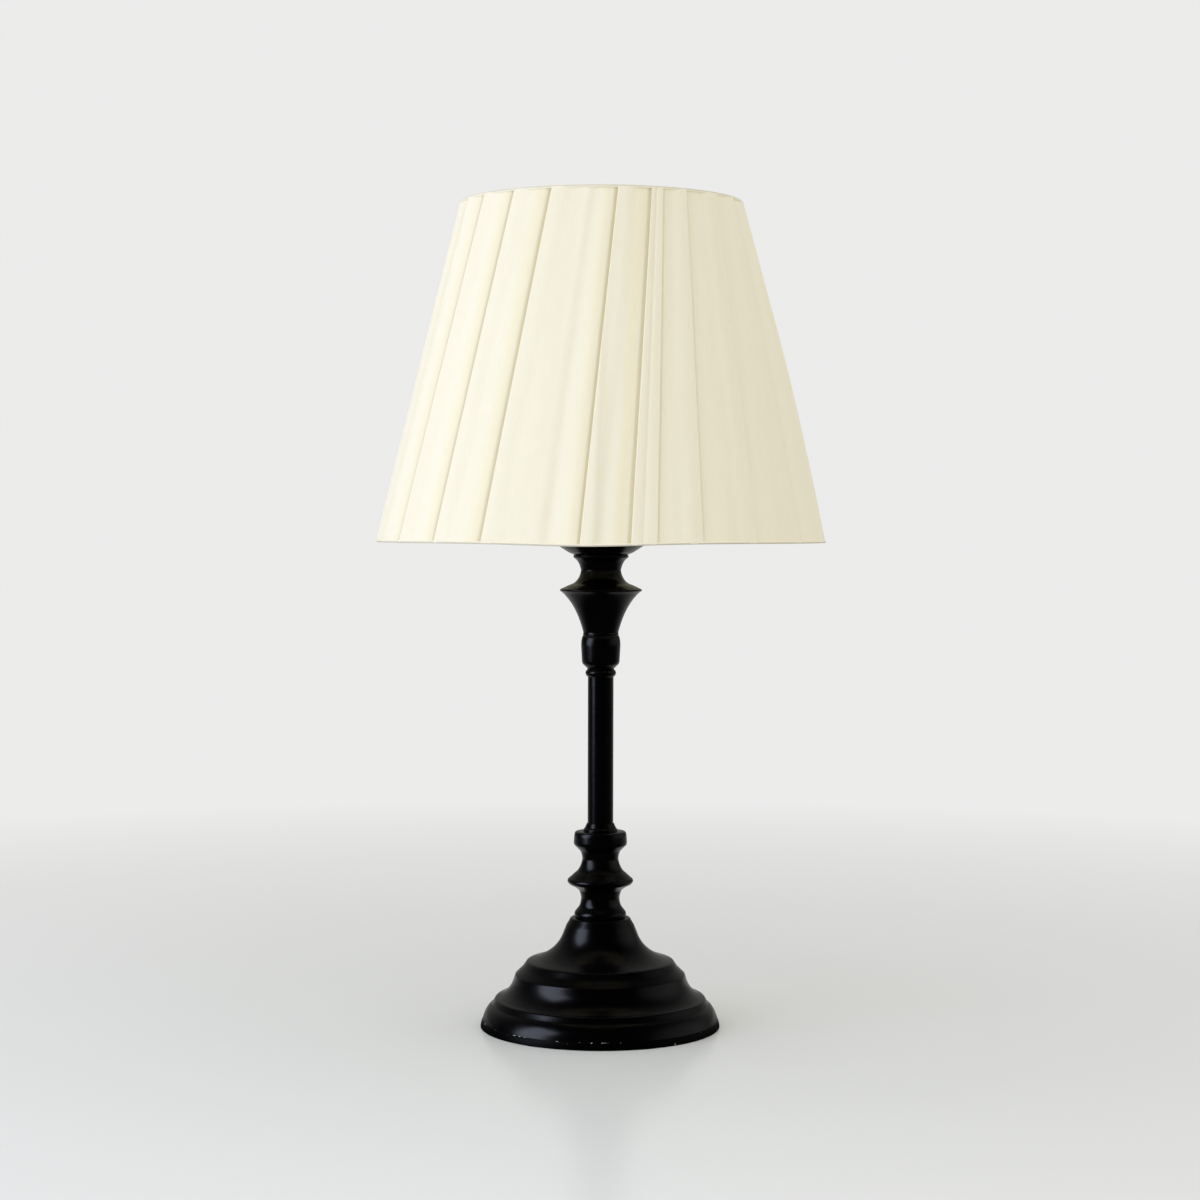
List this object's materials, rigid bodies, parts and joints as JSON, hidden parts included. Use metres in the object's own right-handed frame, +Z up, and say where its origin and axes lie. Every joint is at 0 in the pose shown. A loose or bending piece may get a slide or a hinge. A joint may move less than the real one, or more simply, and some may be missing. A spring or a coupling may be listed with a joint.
{
  "type": "table lamp",
  "caption": "Table lamp: turned black column on a stepped dome base, with a tapered drum shade covered in slanting strips of ivory cloth.",
  "frame": {"origin": "centre of the flat underside of the base", "axes": "+Z up along the column, -Y towards the viewer of the picture, +X to the right"},
  "size_m": [0.249, 0.249, 0.4579],
  "materials": {
    "black_paint": "satin black paint",
    "foot_black": "matt black paint, slightly chipped",
    "cast_iron": "rough casting",
    "steel": "zinc plated",
    "brass": "bare",
    "cap_metal": "nickel plated",
    "black_plastic": "moulded",
    "white_insulator": "moulded",
    "pad_cloth": "pressed felt",
    "shade_cloth": "fine plain weave, laid in strips",
    "lining_cloth": "plain lining",
    "white_wire": "white enamelled wire",
    "bulb_glass": "clear",
    "filament": "yellow coated",
    "dark_insulator": "glassy black"
  },
  "bodies": {
    "base": {"foot_ring": "foot_black", "base_pad": "pad_cloth", "base_dome": "black_paint", "cord_inlet": "black_plastic", "base_weight": "cast_iron", "base_washer": "steel", "base_lock_washer": "steel", "base_nut": "steel", "stem_rod": "steel", "lower_baluster": "black_paint", "lower_ferrule": "black_paint", "stem_tube": "black_paint", "upper_bead": "black_paint", "urn": "black_paint", "drip_cup": "black_paint", "holder_cap": "black_plastic", "cap_grub_screw": "steel", "holder_shell": "black_plastic", "terminal_block": "white_insulator", "terminal_screw_1": "brass", "terminal_screw_2": "brass", "centre_contact": "brass", "screw_liner": "brass"},
    "lower_ring": {"lower_shade_ring": "black_plastic"},
    "shade": {"shade_gallery": "white_wire", "frame_bottom_ring": "white_wire", "frame_top_ring": "white_wire", "frame_rib_1": "white_wire", "frame_rib_2": "white_wire", "frame_rib_3": "white_wire", "frame_rib_4": "white_wire", "frame_rib_5": "white_wire", "frame_rib_6": "white_wire", "shade_lining": "lining_cloth", "shade_cover": "shade_cloth", "bottom_binding": "shade_cloth", "top_binding": "shade_cloth"},
    "upper_ring": {"upper_shade_ring": "black_plastic"},
    "bulb_base": {"bulb_tip": "cap_metal", "bulb_insulator": "dark_insulator", "bulb_cap": "cap_metal"},
    "bulb_envelope": {"bulb_glass": "bulb_glass", "bulb_mount": "bulb_glass", "filament_bridge": "cap_metal", "bulb_filament_1": "filament", "bulb_filament_2": "filament", "bulb_filament_3": "filament", "bulb_filament_4": "filament"}
  },
  "joints": [
    {"name": "shade_turn", "type": "hinge", "parent": "base", "child": "lower_ring", "pos_m": [0, 0, 0.29], "axis": [0, 0, 1], "continuous": true},
    {"name": "shade_lift", "type": "slide", "parent": "lower_ring", "child": "shade", "axis": [0, 0, 1], "range_m": [0, 0.12]},
    {"name": "ring_lift", "type": "slide", "parent": "shade", "child": "upper_ring", "axis": [0, 0, 1], "range_m": [0, 0.12]},
    {"name": "bulb_rise", "type": "slide", "parent": "base", "child": "bulb_base", "axis": [0, 0, 1], "range_m": [0, 0.01461]},
    {"name": "bulb_turn", "type": "hinge", "parent": "bulb_base", "child": "bulb_envelope", "pos_m": [0, 0, 0.33], "axis": [0, 0, 1], "range_deg": [0, 1440]}
  ],
  "couplings": [
    {"joint": "bulb_rise", "follows": "bulb_turn", "m_per_rad": 0.00057751}
  ]
}
